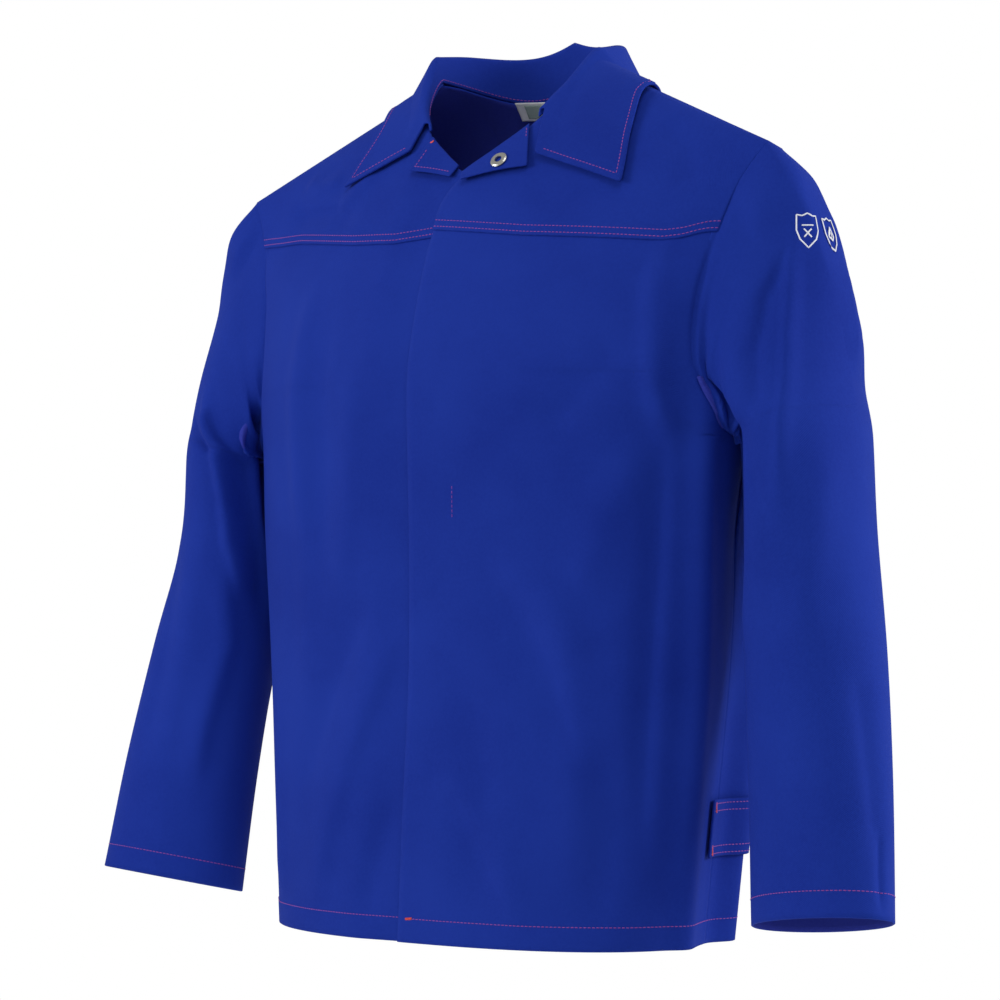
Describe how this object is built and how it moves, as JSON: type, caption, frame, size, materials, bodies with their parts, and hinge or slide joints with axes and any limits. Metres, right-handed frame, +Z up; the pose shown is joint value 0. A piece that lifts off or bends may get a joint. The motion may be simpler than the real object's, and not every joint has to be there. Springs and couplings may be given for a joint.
{
  "type": "welding jacket",
  "caption": "Long-sleeved cotton welding jacket in its worn form: turn-down collar, covered press-stud front, yoke seam, straight sleeves and side tabs at the hem.",
  "frame": {"origin": "middle of the back neck seam, where the jacket hangs from a hook or sits on the neck", "axes": "+X to the wearer's left, -Y to the front, +Z up along the back"},
  "size_m": [0.801, 0.2686, 0.7806],
  "materials": {
    "cotton": "matt royal blue cotton twill",
    "label": "plain woven",
    "nickel": "nickel-plated, satin"
  },
  "bodies": {
    "root": {"front_left": "cotton", "front_right": "cotton", "front_yoke_left": "cotton", "front_yoke_right": "cotton", "back_panel": "cotton", "sleeve_left": "cotton", "sleeve_right": "cotton", "collar": "cotton", "lapel_left": "cotton", "lapel_right": "cotton", "side_tab_left": "cotton", "side_tab_right": "cotton", "neck_label": "label", "snap_socket": "nickel", "press_stud_1": "nickel", "press_stud_2": "nickel", "press_stud_3": "nickel"}
  },
  "joints": []
}
